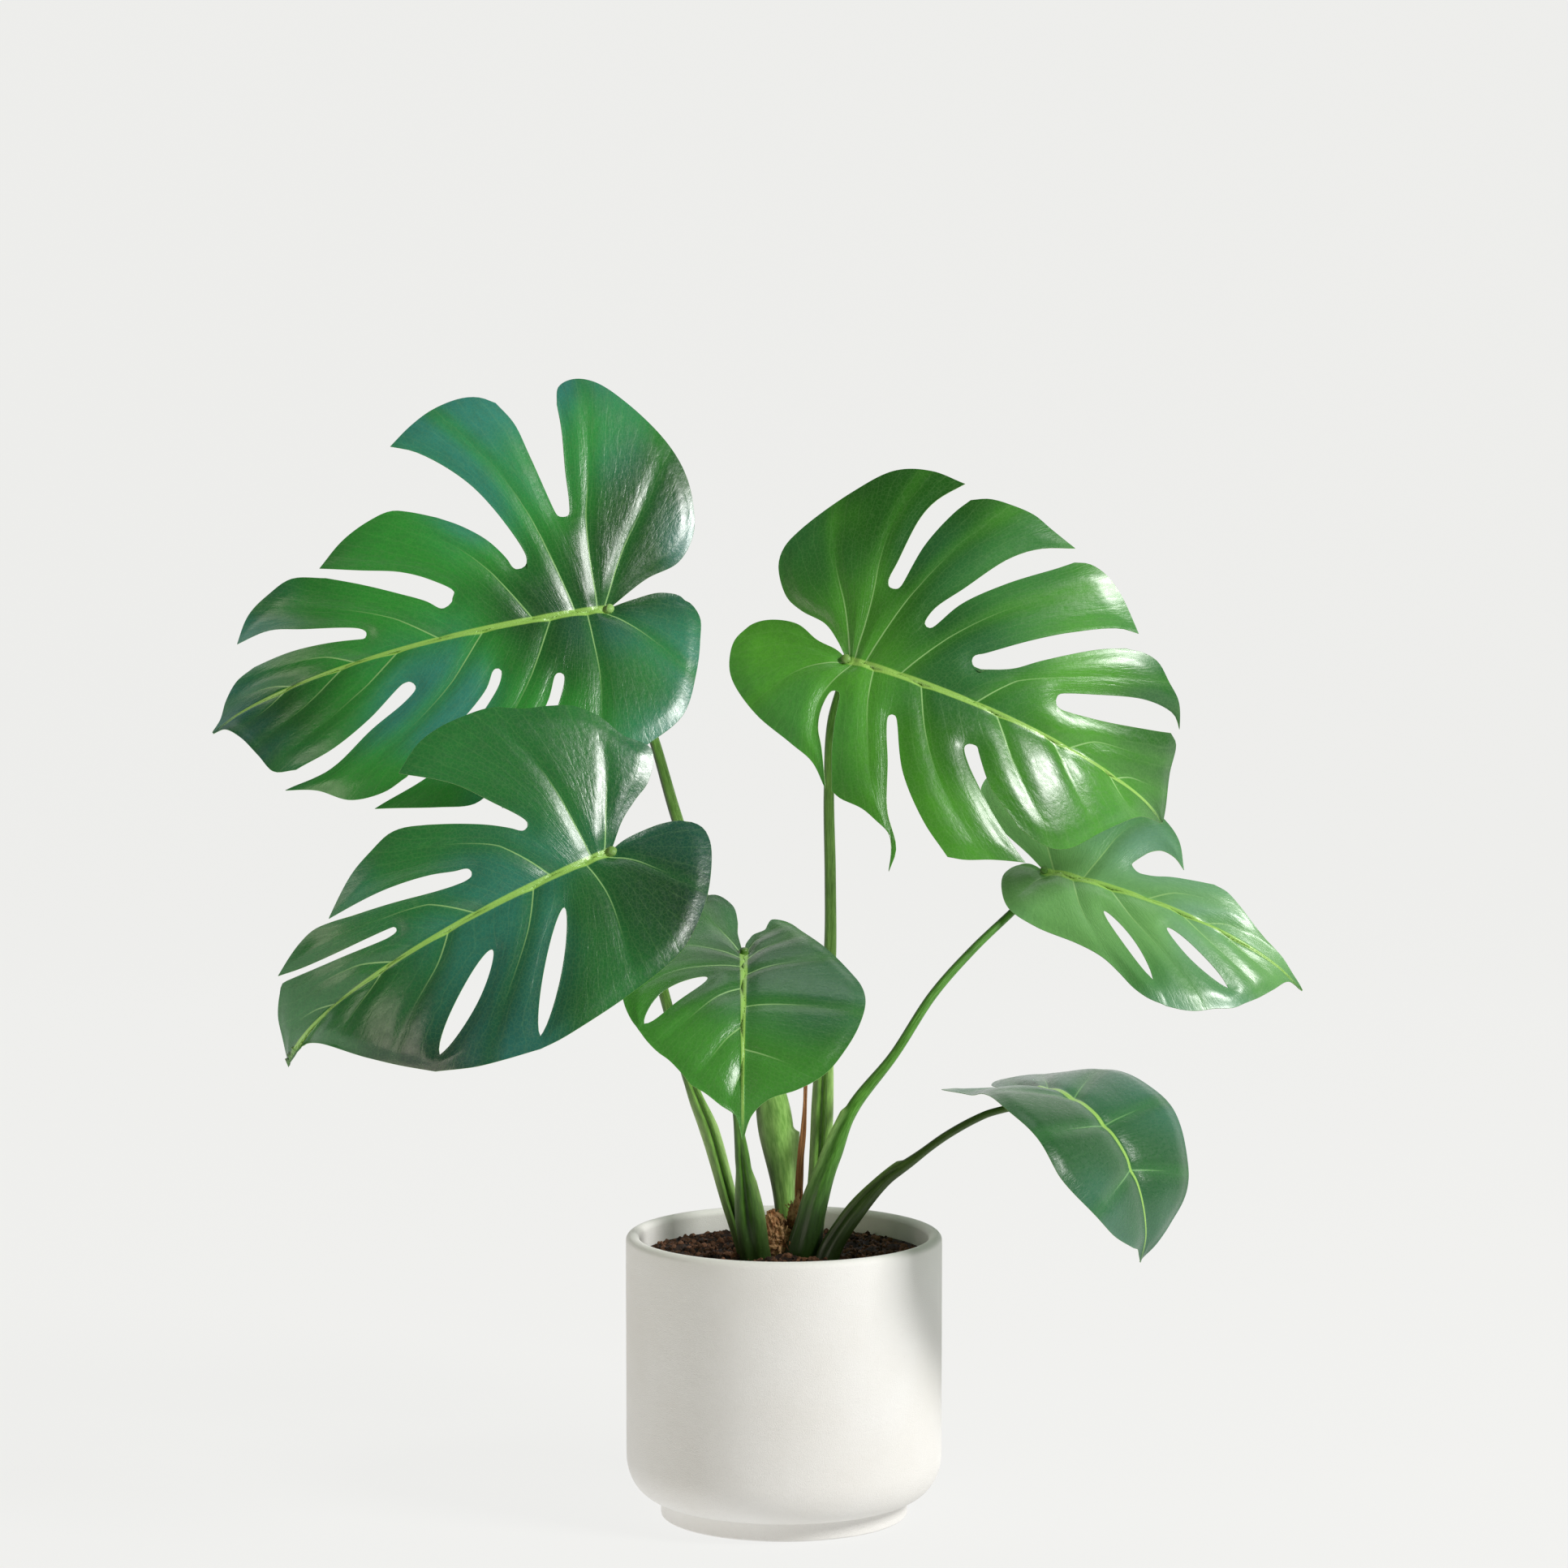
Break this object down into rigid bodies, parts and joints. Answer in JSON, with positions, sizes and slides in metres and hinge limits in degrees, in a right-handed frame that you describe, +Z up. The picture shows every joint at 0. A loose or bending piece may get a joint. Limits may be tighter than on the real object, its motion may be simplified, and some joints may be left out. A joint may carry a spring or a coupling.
{
  "type": "potted monstera plant",
  "caption": "Swiss cheese plant with split and holed heart-shaped leaves on long stalks, growing in a plain round ceramic pot of soil.",
  "frame": {"origin": "centre of the flat underside of the pot's foot, on the surface the pot stands on", "axes": "+Z up along the pot's axis, -Y towards the side the leaves face, +X to that viewer's right"},
  "size_m": [0.7661, 0.3486, 0.789],
  "materials": {
    "pot_ceramic": "matte",
    "potting_soil": "matte",
    "bark": "matte",
    "dry_sheath_skin": "matte",
    "stalk_green": "satin",
    "leaf_dark": "satin",
    "leaf_bright": "satin"
  },
  "bodies": {
    "root": {"pot": "pot_ceramic", "soil": "potting_soil", "woody_stem": "bark", "dry_sheath": "dry_sheath_skin", "stalk_upper_left": "stalk_green", "stalk_upper_right": "stalk_green", "stalk_middle_left": "stalk_green", "stalk_centre": "stalk_green", "stalk_middle_right": "stalk_green", "stalk_lower_right": "stalk_green", "leaf_upper_left": "leaf_dark", "leaf_upper_right": "leaf_bright", "leaf_middle_left": "leaf_dark", "leaf_centre": "leaf_bright", "leaf_middle_right": "leaf_bright", "leaf_lower_right": "leaf_dark"}
  },
  "joints": []
}
